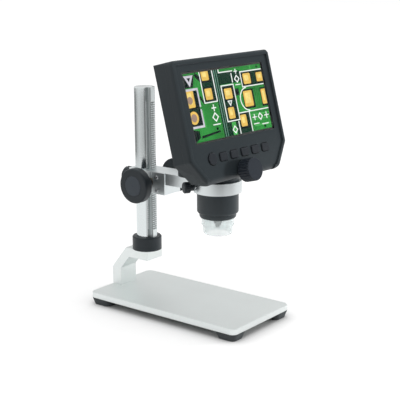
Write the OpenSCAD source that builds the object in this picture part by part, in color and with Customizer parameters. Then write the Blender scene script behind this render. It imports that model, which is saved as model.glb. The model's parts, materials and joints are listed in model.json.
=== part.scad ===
// Digital microscope with a screen head on a rack stand.
// The user faces the screen from -Y. The origin lies under the middle of the base, +Z is up.

/* [Base] */
// Width of the base plate
base_w = 80; // [70:1:110]
// Length of the base plate, front to back
base_l = 158; // [140:1:200]
// Thickness of the base plate
base_t = 5.4; // [5:0.2:9]
// Radius of the upright corners of the plate
base_corner = 5; // [3:0.5:7]
// Chamfer along the edges of the plate
base_edge = 0.5; // [0.2:0.1:1]
// Height of the rubber feet
foot_h = 6; // [5:0.5:12]
// Width of a foot, across the base
foot_w = 18.5; // [16:0.5:24]
// Length of a foot, along the base
foot_l = 21; // [16:0.5:30]
// How far the sides of a foot lean in on the way down
foot_lean = 2; // [0.5:0.1:3]

/* [Neck] */
// Width of the neck bracket
neck_w = 20; // [16:1:26]
// Height of the shelf's top over the base plate
neck_h = 36.4; // [32:0.2:60]
// Thickness of the upright leg
leg_t = 10; // [9:0.5:14]
// Height of the upright leg
leg_h = 16; // [14:0.5:18]
// Thickness of the shelf that carries the column
shelf_t = 8.3; // [7:0.1:11]
// Slope of the leaning part over the level, in degrees
neck_slope = 51; // [46:1:60]

/* [Column] */
// Diameter of the column
column_d = 18; // [17:0.5:19]
// Length of the column
column_l = 143.9; // [120:0.1:200]
// Distance of the column's axis from the rear edge of the base
column_back = 33; // [30:1:36]
// How far the column's flat lies from its axis
flat_out = 6.3; // [6:0.1:7]
// Outer radius of the collar round the column's foot
collar_r = 12.9; // [12.5:0.1:16]
// Height of the collar
collar_h = 12; // [8:0.5:14]

/* [Rack drive] */
// Module of the rack and its pinion
rack_module = 0.6; // [0.55:0.01:0.62]
// Number of gaps cut in the rack
rack_gaps = 60; // [50:1:62]
// Width of the rack
rack_w = 5; // [4:0.1:5.4]
// How far the rack's face lies from the column's axis
rack_out = 9.5; // [9.3:0.1:10]
// Plain length of the rack between the collar and the first gap
rack_plain = 6.5; // [4:0.5:9]
// Number of teeth on the pinion
pinion_teeth = 12; // [12:1:12]
// Diameter of the rack knobs
knob_d = 30; // [24:1:31]
// Thickness of a rack knob's disc
knob_disc_t = 7.8; // [4:0.1:9]
// How far a knob's disc stands off the slide block
knob_off = 13; // [10:0.5:18]
// Diameter of a knob's hub
knob_hub_d = 9; // [8:0.5:16]
// Diameter of the cap in a knob's face
knob_cap_d = 17.5; // [10:0.5:20]

/* [Carriage] */
// Width of the slide block and the arm
block_w = 21; // [20.6:0.2:26]
// Height of the slide block
block_h = 19; // [17:0.5:24]
// Height of the block's underside over the shelf at rest
block_z = 54.2; // [50:0.2:90]
// Thickness of the block's wall behind the column
block_rear = 2.5; // [2:0.1:6]
// Distance from the column's axis to the ring's axis
reach = 78.7; // [76:0.1:100]
// Height of the arm and the ring
ring_h = 10; // [8:0.5:12]
// Thickness of the ring's wall
ring_wall = 2.5; // [2:0.1:5]
// Radius of the curves where the arm runs into the ring
arm_fillet = 9; // [4:0.5:14]
// Direction of the clamp screw round the ring, in degrees
clamp_angle = 147; // [130:1:160]

/* [Head] */
// Lean of the screen back from the upright, in degrees
head_tilt = 15.1; // [12:0.1:18]
// How far the head is turned in the ring at rest, in degrees
head_turn = -3.5; // [-10:0.5:10]
// Width of the head
head_w = 120; // [116:1:130]
// Height of the head over the screen's middle
head_up = 38.1; // [37.5:0.1:44]
// Depth of the head behind its face
head_depth = 18.5; // [18.3:0.1:24]
// Width of the screen's picture
screen_w = 95.04; // [90:0.01:98]
// Height of the screen's picture
screen_h = 53.86; // [50:0.01:55]
// Thickness of the housing walls
wall = 2; // [1.6:0.1:2.4]
// How far the rim stands over the face
rim_up = 1.2; // [0.6:0.1:2]
// Width of the rim
rim_w = 4; // [3:0.1:5]
// Depth of the seam between the two housings behind the face
seam = 6; // [5:0.1:6.2]
// Radius of the lower front lip
lip_r = 5.5; // [3:0.1:6]
// Half the width of the bulge at the back
bulge_w = 32; // [30:0.5:36]
// How far the bulge reaches behind the ring's axis
bulge_back = 21.7; // [21.4:0.1:26]
// Gap between the ring and the underside of the head
head_gap = 5; // [4:0.1:8]

/* [Controls] */
// Distance between neighbouring buttons
button_pitch = 13.2; // [12.2:0.1:14]
// Width of a button
button_w = 9; // [7:0.1:9.4]
// Height of a button
button_h = 6.5; // [5:0.1:7]
// How far a button stands over the face
button_up = 1; // [0.6:0.1:1.6]
// Travel of a button
button_travel = 0.4; // [0.2:0.05:0.45]
// Diameter of the focus knob
focus_d = 19; // [14:0.5:19]
// How far the focus knob's face stands over the head's face
focus_up = 12; // [8:0.5:14]
// Number of ribs round the focus knob
focus_ribs = 26; // [16:2:36]

/* [Barrel] */
// Diameter of the barrel
barrel_d = 34.8; // [34.6:0.1:36]
// Wall of the barrel
barrel_wall = 2.2; // [2:0.1:2.4]
// Length of the barrel under the ring
barrel_drop = 18; // [16:0.5:22]
// Height of the nose ring under the barrel
nose_h = 4; // [3.4:0.1:5]
// Length of the clear hood under the nose ring
hood_l = 14; // [12:0.5:18]
// Wall of the clear hood
hood_wall = 1.5; // [1:0.1:1.8]
// Number of lamps round the lens
led_count = 8; // [6:1:10]
// Travel of the lens each way
lens_travel = 3.8; // [2:0.1:4]

/* [Fits] */
// Radial clearance of a running fit
running = 0.08; // [0.04:0.01:0.1]
// Clearance between seated pieces
seated = 0.05; // [0.02:0.01:0.06]
// Backlash of the toothed drives
backlash = 0.15; // [0.1:0.01:0.25]

/* [Hidden] */

$fn = 72;
tiny = 0.01;
// Size of the boxes that cut the head
big = 2 * head_w;
over = 1;
pressure_angle = 25;

// Heights and places of the stand
base_top = foot_h + base_t;
shelf_top = base_top + neck_h;
base_rear = base_l / 2;
column_y = base_rear - column_back;
column_r = column_d / 2;
column_top = shelf_top + column_l;
collar_top = shelf_top + collar_h;
rack_depth = 5;
rack_face = column_y - rack_out;
shelf_front = column_y - column_r + 0.5;

// Rack and pinion
pinion_r = rack_module * pinion_teeth / 2;
pitch_line = rack_face + rack_module;
pinion_y = pitch_line - pinion_r;
block_bottom = shelf_top + block_z;
block_top = block_bottom + block_h;
pinion_z = block_bottom + block_h / 2 - 0.1;
pinion_bore = pinion_r + rack_module + 0.1;
pinion_w = rack_w + 1;
shaft_r = 2;
tooth_pitch = PI * rack_module;
first_gap = collar_top + rack_plain;
gap_steps = round((pinion_z - first_gap) / tooth_pitch - 0.5);
gap_near = first_gap + (gap_steps + 0.5) * tooth_pitch;
pinion_phase = (gap_near - pinion_z) / pinion_r * 180 / PI;

// Carriage
block_x = block_w / 2;
block_back = column_y + column_r + block_rear;
joint_y = pinion_y - pinion_bore - 1;
fork_l = 12;
fork_front = joint_y - fork_l;
arm_x = block_x - 0.8;
tongue_x = block_x - 5.4;
tongue_l = 8.2;
tongue_inset = 1.5;
groove_y = joint_y + 1.8;
ring_y = column_y - reach;
barrel_r = barrel_d / 2;
ring_bore = barrel_r + running;
ring_r = ring_bore + ring_wall;
ring_z = block_top - ring_h;
side_screw_y = joint_y - 3.4;
lock_z = pinion_z;
lock_r = 2.5;

// Head frame: u runs right, v up the face, n out of the face
under_head = block_top + head_gap;
lcd_out = 13.05;
lcd_z = under_head + 60.6;
head_x = head_w / 2;
chamfer_v = -41;
front_foot = [head_x - 15.8, chamfer_v - 20.8];
rear_foot = [head_x - 19.5, chamfer_v - 22.3];
top_corner = 4;
edge_r = 2;
back_n = -head_depth;
bulge_step = 0.4;
plate_back = -wall;

// Screen and boards, as depths behind the face
window_t = 1;
window_edge = 1.5;
panel_t = 2.9;
panel_w = screen_w + 8;
panel_h = screen_h + 9;
panel_v = -1.5;
panel_n = -window_t - seated - panel_t;
frame_t = 2;
frame_n = panel_n - seated - frame_t;
frame_lug = 2;
board_t = 1.6;
board_n = frame_n - frame_lug - board_t;
board_w = head_w - 16;
board_v = [-27, 29];
post_r = 2.6;
post_at = [[head_x - wall - post_r - 0.8, head_up - wall - post_r - 0.3], [head_x - 10, chamfer_v - 3]];
screw_r = 1.2;

// Buttons
button_v = -41.6;
button_u = -34;
button_gap = 0.4;
button_count = 6;
flange = 1;
flange_t = 0.8;
flange_n = plate_back - 0.1 - flange_t;
stem_n = flange_n - 0.5;
switch_t = 2.6;
plunger_t = 0.45;
switch_n = stem_n - button_travel - 0.05 - plunger_t;
key_board_n = switch_n - switch_t;
key_board_t = 1.2;
key_board_h = 9.2;
key_board_u = [button_u - 11, button_u + (button_count - 1) * button_pitch + 11];

// Focus drive
focus_u = 0.5;
focus_v = -56.5;
focus_module = 0.4;
focus_teeth = 12;
focus_r = focus_module * focus_teeth / 2;
focus_shaft_r = 1.5;
focus_pinion_n = [-20.5, -16];

// Barrel and optics
barrel_in = barrel_r - barrel_wall;
barrel_bottom = ring_z - barrel_drop;
barrel_top = under_head + 12;
socket_wall = 2;
nose_bottom = barrel_bottom - nose_h;
nose_r = barrel_r - 2;
hood_r = barrel_in - 1.6;
hood_bottom = nose_bottom - hood_l;
hood_in = hood_r - hood_wall;
led_board_z = barrel_bottom - 1.8;
led_board_t = 1.2;
led_ring_r = hood_in - 0.6 - 1.9;
spigot_h = 3.5;
carrier_bottom = barrel_bottom + spigot_h + lens_travel + 0.7;
carrier_top = carrier_bottom + 16;
carrier_r = barrel_in - running;
holder_in = 5.6;
holder_out = 7;

// ---- Shapes that repeat ----

module at_corners(x, y) {
    for (sx = [-1, 1], sy = [-1, 1]) translate([sx * x, sy * y, 0]) children();
}

module rounded(w, l, r) {
    square([w - 2 * r, l], center = true);
    square([w, l - 2 * r], center = true);
    for (sx = [-1, 1], sy = [-1, 1]) translate([sx * (w / 2 - r), sy * (l / 2 - r)]) circle(r);
}

// Stands the children's X axis along Y and their Z axis along X
module along_x() {
    rotate([90, 0, 90]) children();
}

// A shape drawn in radius and height, turned about Z
module turned(points) {
    rotate_extrude($fn = 96) polygon(points);
}

// Frame of the ring's axis, turned with the head
module at_ring() {
    translate([0, ring_y, 0]) rotate([0, 0, head_turn]) children();
}

// Frame of the head's face: X is u, Y is v and Z is n
module at_head() {
    at_ring() translate([0, -lcd_out, lcd_z]) rotate([90 - head_tilt, 0, 0]) children();
}

// Undoes at_head as far as the ring's frame
module upright() {
    rotate([head_tilt - 90, 0, 0]) translate([0, lcd_out, -lcd_z]) children();
}

// A box in the head's frame, between two depths
module slab(u, v, n) {
    translate([u[0], v[0], n[0]]) cube([u[1] - u[0], v[1] - v[0], n[1] - n[0]]);
}

// Pan head screw pointing down its own Z axis, with a cross recess in the head
module cross_screw(shank, length, head, head_t) {
    translate([0, 0, -length]) cylinder(h = length + tiny, r = shank);
    difference() {
        cylinder(h = head_t, r1 = head, r2 = head * 0.8);
        for (a = [0, 90]) rotate(a) translate([-head * 0.55, -head * 0.12, head_t * 0.45])
            cube([head * 1.1, head * 0.24, head_t]);
    }
}

// Outline of a rack with its teeth facing down the first coordinate
function rack_outline(gaps, m, first, low, high, line, back) =
    let (tip = line - m, root = line + 1.25 * m, half = PI * m / 4 + backlash / 2,
        wide = half + m * tan(pressure_angle), narrow = half - 1.25 * m * tan(pressure_angle))
    concat([[back, low], [tip, low]],
        [for (i = [0 : gaps - 1]) let (c = first + (i + 0.5) * PI * m)
            each [[tip, c - wide], [root, c - narrow], [root, c + narrow], [tip, c + wide]]],
        [[tip, high], [back, high]]);

function involute(r, base) = let (a = acos(base / r)) tan(a) * 180 / PI - a;

// Outline of a pinion with one tooth along its X axis
function gear_outline(teeth, m) =
    let (pitch = teeth * m / 2, base = pitch * cos(pressure_angle), outer = pitch + m,
        root = pitch - 1.25 * m, half = 90 / teeth + involute(pitch, base),
        side = [for (k = [0 : 5]) let (r = base + (outer - base) * k / 5)
            [r, half - involute(max(r, base), base)]])
    [for (i = [0 : teeth - 1]) let (c = i * 360 / teeth)
        each concat(
            [root * [cos(c - half), sin(c - half)]],
            [for (p = side) p[0] * [cos(c - p[1]), sin(c - p[1])]],
            [for (k = [5 : -1 : 0]) side[k][0] * [cos(c + side[k][1]), sin(c + side[k][1])]],
            [root * [cos(c + half), sin(c + half)]])];

// ---- Stand ----

module foot_holes(r, low, high) {
    at_corners(base_w / 2 - foot_w / 2, base_l / 2 - foot_l / 2)
        translate([0, 0, low]) cylinder(h = high - low, r = r);
}

module base_plate() {
    color("silver") difference() {
        translate([0, 0, foot_h]) hull() {
            linear_extrude(base_t) rounded(base_w - 2 * base_edge, base_l - 2 * base_edge, base_corner);
            translate([0, 0, base_edge]) linear_extrude(base_t - 2 * base_edge)
                rounded(base_w, base_l, base_corner);
        }
        foot_holes(2 + seated, foot_h - over, foot_h + 3.6);
        bracket_holes();
    }
}

module foot() {
    hull() {
        translate([0, 0, foot_h - tiny]) linear_extrude(tiny) rounded(foot_w, foot_l, base_corner);
        linear_extrude(tiny) rounded(foot_w - 2 * foot_lean, foot_l - 2 * foot_lean, base_corner - 1);
    }
}

module rubber_feet() {
    color([0.2, 0.22, 0.24]) difference() {
        at_corners(base_w / 2 - foot_w / 2, base_l / 2 - foot_l / 2) foot($fn = 40);
        foot_holes(2 + seated, -over, foot_h + over);
        foot_holes(4.2, -over, foot_h - 2.6);
    }
}

module foot_screws() {
    color("gainsboro") at_corners(base_w / 2 - foot_w / 2, base_l / 2 - foot_l / 2)
        translate([0, 0, foot_h - 2.6]) rotate([180, 0, 0]) cross_screw(2, 6, 3.8, 2);
}

// Countersunk holes up through the plate and into the leg
module bracket_holes() {
    for (sx = [-1, 1]) translate([sx * neck_w / 4, base_rear - leg_t / 2, foot_h]) {
        translate([0, 0, -over]) cylinder(h = base_t + 12, r = 2 + seated);
        translate([0, 0, -tiny]) cylinder(h = 2 + tiny, r1 = 4 + seated, r2 = 2 + seated);
    }
}

module bracket_screws() {
    color("gainsboro") for (sx = [-1, 1])
        translate([sx * neck_w / 4, base_rear - leg_t / 2, foot_h]) {
            cylinder(h = base_t + 10, r = 2);
            cylinder(h = 2, r1 = 4, r2 = 2);
        }
}

module neck_bracket() {
    run = 1 / tan(neck_slope);
    color("silver") difference() {
        translate([-neck_w / 2, 0, 0]) along_x() linear_extrude(neck_w) polygon([
            [base_rear, base_top],
            [base_rear, base_top + leg_h],
            [base_rear - (neck_h - leg_h) * run, shelf_top],
            [shelf_front, shelf_top],
            [shelf_front, shelf_top - shelf_t],
            [base_rear - leg_t - (neck_h - shelf_t - leg_h) * run, shelf_top - shelf_t],
            [base_rear - leg_t, base_top + leg_h],
            [base_rear - leg_t, base_top]]);
        bracket_holes();
        translate([0, column_y, shelf_top - shelf_t - over]) cylinder(h = shelf_t + 2 * over, r = 2.5 + seated);
        translate([0, column_y, shelf_top - shelf_t - over]) cylinder(h = over + 4.4, r = 4.6);
    }
}

module column_collar() {
    color([0.2, 0.22, 0.24]) difference() {
        translate([0, column_y, shelf_top])
            turned([[0, 0], [collar_r, 0], [collar_r, collar_h - 0.8], [collar_r - 0.8, collar_h], [0, collar_h]]);
        column_space(seated, shelf_top - over, collar_top + over);
        translate([0, column_y, shelf_top + collar_h / 2]) rotate([-90, 0, 0])
            cylinder(h = collar_r + over, r = 2 + seated);
    }
}

module collar_screw() {
    start = column_r + seated * 2;
    color("dimgray") translate([0, column_y, shelf_top + collar_h / 2]) rotate([-90, 0, 0]) difference() {
        translate([0, 0, start]) cylinder(h = collar_r - 0.4 - start, r = 2);
        translate([0, 0, collar_r - 2.2]) cylinder(h = 3, r = 1.1, $fn = 6);
    }
}

// The column's section with a clearance, as the hole that it stands or slides in
module column_space(gap, low, high) {
    translate([0, column_y, low]) difference() {
        cylinder(h = high - low, r = column_r + gap);
        translate([-column_r - over, -column_r - over, -over])
            cube([2 * column_r + 2 * over, column_r + over - flat_out - gap, high - low + 2 * over]);
    }
}

module column() {
    bevel = 0.6;
    color("gainsboro") difference() {
        translate([0, column_y, shelf_top])
            turned([[0, 0], [column_r, 0], [column_r, column_l - bevel], [column_r - bevel, column_l], [0, column_l]]);
        translate([-column_r, column_y - column_r - over, shelf_top - over])
            cube([column_d, column_r + over - flat_out, column_l + 2 * over]);
        translate([-rack_w / 2 - seated, column_y - column_r, shelf_top - over])
            cube([rack_w + 2 * seated, column_r - rack_out + rack_depth + seated, column_l + 2 * over]);
        translate([0, column_y, shelf_top - over]) cylinder(h = over + 13, r = 2.5 + seated);
    }
}

module rack() {
    color("gainsboro") translate([-rack_w / 2, 0, 0]) along_x() linear_extrude(rack_w)
        polygon(rack_outline(rack_gaps, rack_module, first_gap, collar_top, column_top,
            pitch_line, rack_face + rack_depth));
}

module column_bolt() {
    head_z = shelf_top - shelf_t + 0.2;
    color("dimgray") translate([0, column_y, head_z]) difference() {
        union() {
            cylinder(h = 4, r = 4.25);
            cylinder(h = shelf_t + 11, r = 2.5);
        }
        translate([0, 0, -over]) cylinder(h = over + 2, r = 2.3, $fn = 6);
    }
}

// ---- Carriage ----

module screw_row() {
    for (z = [block_bottom + 3.4, block_top - 4.5]) translate([-block_x, side_screw_y, z])
        rotate([0, -90, 0]) children();
}

module tongue(gap) {
    translate([-tongue_x - gap, joint_y - tongue_l - gap, block_bottom + tongue_inset - gap])
        cube([2 * tongue_x + 2 * gap, tongue_l + gap + over, block_h - 2 * tongue_inset + 2 * gap]);
}

module slide_block() {
    rear_r = 3;
    depth = block_back - joint_y;
    color("silver") difference() {
        union() {
            translate([0, joint_y + depth / 2, block_bottom]) linear_extrude(block_h) {
                rounded(block_w, depth, rear_r);
                translate([-block_x, -depth / 2]) square([block_w, depth / 2]);
            }
            tongue(0);
        }
        column_space(running, block_bottom - over, block_top + over);
        translate([-rack_w / 2 - 0.3, rack_face - 0.3, block_bottom - over])
            cube([rack_w + 0.6, rack_out - flat_out + 0.6, block_h + 2 * over]);
        translate([-block_x - over, pinion_y, pinion_z]) rotate([0, 90, 0])
            cylinder(h = block_w + 2 * over, r = pinion_bore);
        translate([0, column_y, lock_z]) rotate([-90, 0, 0])
            cylinder(h = block_back - column_y + over, r = lock_r + running);
        for (sx = [-1, 1]) translate([sx * block_x - 0.8, groove_y, block_bottom - over])
            cube([1.6, 1, block_h + 2 * over]);
        screw_row() translate([0, 0, -block_w - over]) cylinder(h = block_w + 2 * over, r = 1.25 + seated);
    }
}

module ring_arm() {
    color("silver") difference() {
        union() {
            translate([0, 0, ring_z]) linear_extrude(ring_h) offset(r = -arm_fillet) offset(delta = arm_fillet)
                union() {
                    translate([0, ring_y]) circle(ring_r, $fn = 120);
                    translate([-arm_x, ring_y]) square([2 * arm_x, joint_y - ring_y]);
                }
            translate([-block_x, fork_front, block_bottom]) cube([block_w, fork_l, block_h]);
        }
        tongue(seated);
        translate([0, ring_y, ring_z - over]) cylinder(h = ring_h + 2 * over, r = ring_bore);
        screw_row() translate([0, 0, -block_w + 1.5]) cylinder(h = block_w, r = 1.25 + seated);
        at_clamp() translate([0, 0, ring_bore - over]) cylinder(h = ring_wall + 3, r = 2 + running);
    }
}

module side_screws() {
    color("gainsboro") screw_row() cross_screw(1.25, block_w - 2, 1.7, 0.9);
}

module pinion_bushes() {
    color("darkkhaki") for (sx = [-1, 1]) translate([sx * (block_x + pinion_w / 2 + 0.3) / 2, pinion_y, pinion_z])
        rotate([0, 90, 0]) difference() {
            cylinder(h = block_x - pinion_w / 2 - 0.3, r = pinion_bore - seated, center = true);
            cylinder(h = block_w, r = shaft_r + running, center = true);
        }
}

module friction_pad() {
    color("ivory") translate([0, column_y, lock_z]) rotate([-90, 0, 0]) intersection() {
        translate([0, 0, column_r - 1]) cylinder(h = 2.4, r = lock_r - 0.1);
        rotate([90, 0, 0]) difference() {
            cylinder(h = 10, r = column_r + 2, center = true);
            cylinder(h = 11, r = column_r + running, center = true);
        }
    }
}

// ---- Lock at the rear of the slide ----

module lock_knob() {
    knob_r = 8;
    start = block_back - column_y + 1;
    color([0.15, 0.16, 0.18]) translate([0, column_y, lock_z]) rotate([-90, 0, 0]) difference() {
        translate([0, 0, start]) turned([[0, 0], [4.5, 0], [4.5, 2], [knob_r, 2], [knob_r, 9], [knob_r - 1, 10], [0, 10]]);
        for (a = [0 : 45 : 359]) rotate(a) translate([knob_r + 1.4, 0, start + 1]) cylinder(h = 10, r = 2);
        translate([0, 0, start - over]) cylinder(h = 7 + over, r = lock_r + seated);
    }
}

module lock_screw() {
    tip = column_r + 2 + seated;
    color("gainsboro") translate([0, column_y, lock_z]) rotate([-90, 0, 0]) translate([0, 0, tip])
        cylinder(h = block_back - column_y + 7.5 - tip, r = lock_r);
}

// ---- Rack drive ----

module at_pinion() {
    translate([0, pinion_y, pinion_z]) children();
}

module pinion_shaft() {
    end = block_x + knob_off + 2;
    color("gainsboro") at_pinion() {
        along_x() translate([0, 0, -pinion_w / 2]) linear_extrude(pinion_w)
            rotate(pinion_phase) polygon(gear_outline(pinion_teeth, rack_module));
        along_x() translate([0, 0, -end]) cylinder(h = 2 * end, r = shaft_r);
    }
}

// Knob on the right of the block, drawn outward along Z
module rack_knob() {
    hub = knob_hub_d / 2;
    r = knob_d / 2;
    round_r = 1.6;
    hub_start = 0.5;
    face = knob_off + knob_disc_t;
    arc = [for (a = [0 : 15 : 90]) [r - round_r + round_r * cos(a), face - round_r + round_r * sin(a)]];
    back = [for (a = [0 : 30 : 90]) [r - 0.8 + 0.8 * sin(a), knob_off + 0.8 - 0.8 * cos(a)]];
    difference() {
        turned(concat([[0, hub_start], [hub, hub_start], [hub, knob_off]], back, arc, [[0, face]]));
        translate([0, 0, -over]) cylinder(h = knob_off + 2 + over + seated, r = shaft_r + seated);
        translate([0, 0, face - 1]) cylinder(h = 2, r = knob_cap_d / 2 + seated);
        translate([0, 0, knob_off / 2 + hub_start]) rotate([0, 90, 0]) cylinder(h = hub + over, r = 1.5 + seated);
    }
}

module on_both_sides(sides) {
    for (s = sides) at_pinion() rotate([0, s * 90, 0]) translate([0, 0, block_x]) children();
}

module left_rack_knob() {
    color([0.13, 0.14, 0.16]) on_both_sides([-1]) rack_knob();
}

module right_rack_knob() {
    color([0.13, 0.14, 0.16]) on_both_sides([1]) rack_knob();
}

module knob_caps() {
    cap_r = knob_cap_d / 2;
    face = knob_off + knob_disc_t;
    color([0.25, 0.27, 0.3]) on_both_sides([-1, 1]) translate([0, 0, face - 1])
        turned([[0, 0], [cap_r, 0], [cap_r, 0.9], [cap_r - 0.5, 1.3], [0, 1.5]]);
}

module knob_grub_screws() {
    start = shaft_r + seated;
    color("dimgray") on_both_sides([-1, 1]) translate([0, 0, knob_off / 2 + 0.5]) rotate([0, 90, 0]) difference() {
        translate([0, 0, start]) cylinder(h = knob_hub_d / 2 - 0.3 - start, r = 1.5);
        translate([0, 0, knob_hub_d / 2 - 1.3]) cylinder(h = 3, r = 0.8, $fn = 6);
    }
}

// ---- Clamp screw of the ring, drawn outward along Z ----

module at_clamp() {
    translate([0, ring_y, ring_z + ring_h / 2]) rotate([0, 90, clamp_angle]) children();
}

module clamp_knob() {
    r = 4.7;
    hub_start = ring_r + 1;
    start = ring_r + 4.2;
    color([0.12, 0.13, 0.15]) at_clamp() difference() {
        union() {
            translate([0, 0, start]) turned([[0, 0], [r - 1, 0], [r, 0.8], [r, 5], [r - 0.8, 5.8], [0, 5.8]]);
            translate([0, 0, hub_start]) cylinder(h = start - hub_start + tiny, r = 3);
        }
        for (a = [0 : 24 : 359]) rotate(a) translate([r + 0.25, 0, start - over]) cylinder(h = 8, r = 0.5);
        translate([0, 0, hub_start - over]) cylinder(h = start + 4.5 - hub_start + over, r = 2 + seated);
    }
}

module clamp_screw() {
    color("gainsboro") at_clamp() translate([0, 0, barrel_r + 0.25]) cylinder(h = ring_r + 8.4 - barrel_r - 0.25, r = 2);
}

// ---- Head shells ----

// Outline of the head at its face, or at its back
module face_outline(foot) {
    $fn = 32;
    hull() {
        for (s = [-1, 1]) {
            translate([s * (head_x - top_corner), head_up - top_corner]) circle(top_corner);
            translate([s * (head_x - 2), chamfer_v + 1]) circle(2);
            translate([s * foot[0], foot[1]]) translate([-s * 6, 12]) circle(12 - tiny);
        }
    }
}

module face_polygon(foot, inset) {
    offset(delta = -inset) polygon([for (s = [1, -1]) for (p = s > 0
        ? [[head_x, head_up], [head_x, chamfer_v], foot]
        : [foot, [head_x, chamfer_v], [head_x, head_up]]) [s * p[0], p[1]]]);
}

// Everything behind a front plane and over the level underside, with the rounded lower lip
module lip_body(front) {
    far = head_w / 2;
    c = cos(head_tilt);
    drop = (under_head - lcd_z);
    low_front = (drop - front * sin(head_tilt)) / c;
    low_back = (drop + far * sin(head_tilt)) / c;
    translate([-head_x - over, 0, 0]) rotate([0, 90, 0]) linear_extrude(head_w + 2 * over)
        offset(r = lip_r, $fn = 48) offset(delta = -lip_r)
            polygon([[-front, low_front], [far, low_back], [far, head_up + far], [-front, head_up + far]]);
}

// Outer form of both shells, in the head's frame
module head_form() {
    intersection() {
        hull() {
            for (a = [0 : 30 : 90]) {
                level = rim_up - edge_r + edge_r * sin(a);
                translate([0, 0, level - tiny]) linear_extrude(tiny)
                    offset(delta = -edge_r * (1 - cos(a))) face_outline(front_foot);
            }
            translate([0, 0, back_n + 1]) linear_extrude(tiny) face_polygon(rear_foot, 0);
            translate([0, 0, back_n]) linear_extrude(tiny) face_polygon(rear_foot, 1);
        }
        lip_body(rim_up);
    }
}

module face_recess() {
    difference() {
        translate([0, 0, -lip_r]) linear_extrude(lip_r + rim_up + over) {
            intersection() {
                face_polygon(front_foot, rim_w);
                translate([-head_x, -big]) square([head_w, big + head_up]);
            }
            translate([-front_foot[0] + rim_w, -big]) square([2 * front_foot[0] - 2 * rim_w, big + chamfer_v]);
        }
        lip_body(0);
    }
}

// Space inside both shells between two depths
module head_space(low, high) {
    intersection() {
        translate([0, 0, low]) linear_extrude(high - low) face_polygon(rear_foot, wall);
        upright() translate([-head_x, -big / 2, under_head + wall]) cube([head_w, big, big]);
    }
}

module posts(r, low, high) {
    for (s = [-1, 1], p = post_at) translate([s * p[0], p[1], low]) cylinder(h = high - low, r = r, $fn = 32);
}

module button_places() {
    for (i = [0 : button_count - 1]) translate([button_u + i * button_pitch, button_v, 0]) children();
}

// Section of a button; the first one is round
module button_shape(i, grow) {
    if (i == 0) circle(button_h / 2 + 1.5 + grow);
    else rounded(button_w + 2 * grow, button_h + 2 * grow, 1.4 + grow);
}

module front_housing() {
    color([0.2, 0.22, 0.24]) at_head() difference() {
        union() {
            difference() {
                intersection() {
                    head_form();
                    translate([-big / 2, -big / 2, -seam]) cube(big);
                }
                face_recess();
                intersection() {
                    head_space(-seam - over, plate_back);
                    translate([-big / 2, focus_v - 1.5, -big / 2]) cube(big);
                }
            }
            posts(post_r, back_n + wall + 0.3, plate_back + tiny);
            translate([focus_u, focus_v, -seam]) cylinder(h = seam + plate_back + tiny, r = 4);
            for (u = [key_board_u[0] + 2.5, key_board_u[1] - 2.5]) translate([u, button_v, key_board_n])
                cylinder(h = plate_back - key_board_n + tiny, r = 1.8, $fn = 32);
        }
        slab([-panel_w / 2 - 0.2, panel_w / 2 + 0.2],
            [panel_v - panel_h / 2 - 0.2, panel_v + panel_h / 2 + 0.2], [plate_back - tiny, -window_t]);
        translate([0, 0, -wall - over]) linear_extrude(wall + 2 * over)
            rounded(screen_w + 2 * window_edge + 2 * seated, screen_h + 2 * window_edge + 2 * seated, 1);
        for (i = [0 : button_count - 1]) translate([button_u + i * button_pitch, button_v, -wall - over])
            linear_extrude(wall + 2 * over) button_shape(i, button_gap);
        translate([focus_u, focus_v, -seam - over]) cylinder(h = seam + 3, r = focus_shaft_r + running);
        posts(screw_r + seated, back_n, plate_back - 2);
    }
}

// The bulge over the barrel, in the ring's frame
module bulge(inset, low) {
    corner = 12;
    high = lcd_z - 6.6;
    flat_top = under_head + 24;
    hull() {
        for (s = [-1, 1]) translate([s * (bulge_w - corner), bulge_back - corner, low])
            cylinder(h = flat_top - low, r = corner - inset, $fn = 48);
        translate([-bulge_w + inset, -12, low]) cube([2 * (bulge_w - inset), 2, flat_top - low]);
        translate([-bulge_w + 5, 0, high - 2 - inset]) cube([2 * bulge_w - 10, 3 - inset, 1]);
    }
}

module rear_housing() {
    color([0.2, 0.22, 0.24]) difference() {
        union() {
            at_head() intersection() {
                head_form();
                translate([-big / 2, -big / 2, -seam - tiny - big]) cube(big);
            }
            at_ring() bulge(0, under_head + bulge_step);
        }
        difference() {
            union() {
                at_head() head_space(back_n + wall, -seam + over);
                at_ring() bulge(wall, under_head + wall);
            }
            at_ring() translate([0, 0, under_head - over])
                cylinder(h = barrel_top - under_head + over, r = barrel_r + socket_wall);
        }
        at_ring() translate([0, 0, under_head - over])
            cylinder(h = barrel_top - under_head + 2 * over, r = barrel_r + seated);
        at_head() {
            translate([focus_u, focus_v, -22]) cylinder(h = 22 - seam + over, r = focus_shaft_r + 0.7);
            posts(screw_r + 0.3, back_n - over, back_n + wall + over);
            posts(2.6, back_n - over, back_n + 1);
            slab([head_x - wall - over, head_x + over], [7.5, 16.5], [board_n - 3.5, board_n + 0.3]);
            slab([head_x - wall - over, head_x + over], [-14.5, 0.5], [board_n - 2.2, board_n + 0.3]);
        }
    }
}

module housing_screws() {
    color("dimgray") at_head() for (s = [-1, 1], p = post_at) translate([s * p[0], p[1], back_n + 1])
        rotate([180, 0, 0]) cross_screw(screw_r, head_depth - 6, 2.4, 0.9);
}

// ---- Screen and boards ----

module screen_window() {
    color([0.7, 0.8, 0.85, 0.4]) at_head() translate([0, 0, -window_t]) linear_extrude(window_t)
        rounded(screen_w + 2 * window_edge, screen_h + 2 * window_edge, 1 - seated);
}

module lcd_panel() {
    color([0.1, 0.3, 0.15]) at_head() slab([-panel_w / 2, panel_w / 2],
        [panel_v - panel_h / 2, panel_v + panel_h / 2], [panel_n, panel_n + panel_t]);
}

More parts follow.
